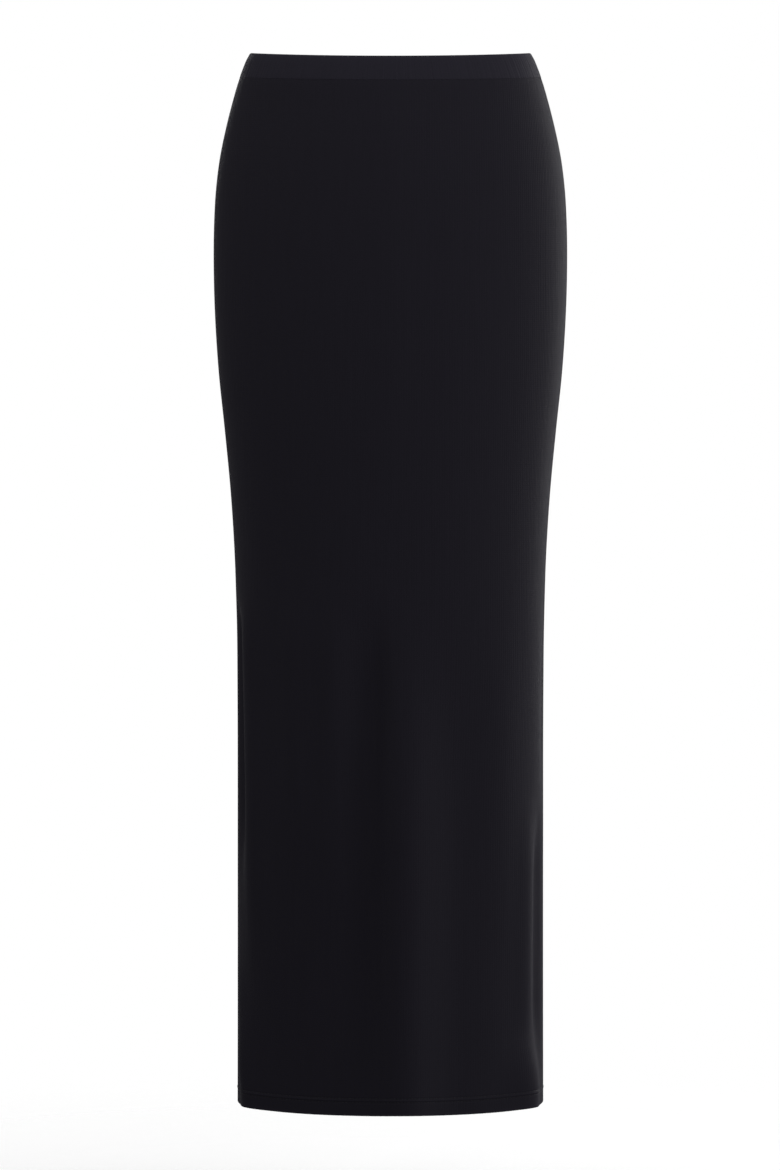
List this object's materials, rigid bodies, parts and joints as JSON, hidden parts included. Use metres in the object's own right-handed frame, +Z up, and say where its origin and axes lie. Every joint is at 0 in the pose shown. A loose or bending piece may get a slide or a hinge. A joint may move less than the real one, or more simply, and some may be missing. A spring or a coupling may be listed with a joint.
{
  "type": "long column skirt",
  "caption": "Ankle-length jersey column skirt, a hollow tube shaped as worn: elasticated waistband, side seams, soft folds below the knee, open at waist and hem.",
  "frame": {"origin": "centre of the waist opening, level with the middle of the waistband at the side seams, which is where the wearer's waist holds the skirt", "axes": "+Z up towards the waist, -Y towards the front of the wearer, +X to the right of someone looking at the front"},
  "size_m": [0.3392, 0.2421, 1.0147],
  "materials": {
    "jersey": "matt black viscose and elastane jersey with a fine smooth knit",
    "sewing_thread": "black spun polyester thread, slightly shinier than the cloth"
  },
  "bodies": {
    "root": {"waistband": "jersey", "front_panel": "jersey", "back_panel": "jersey"}
  },
  "joints": []
}
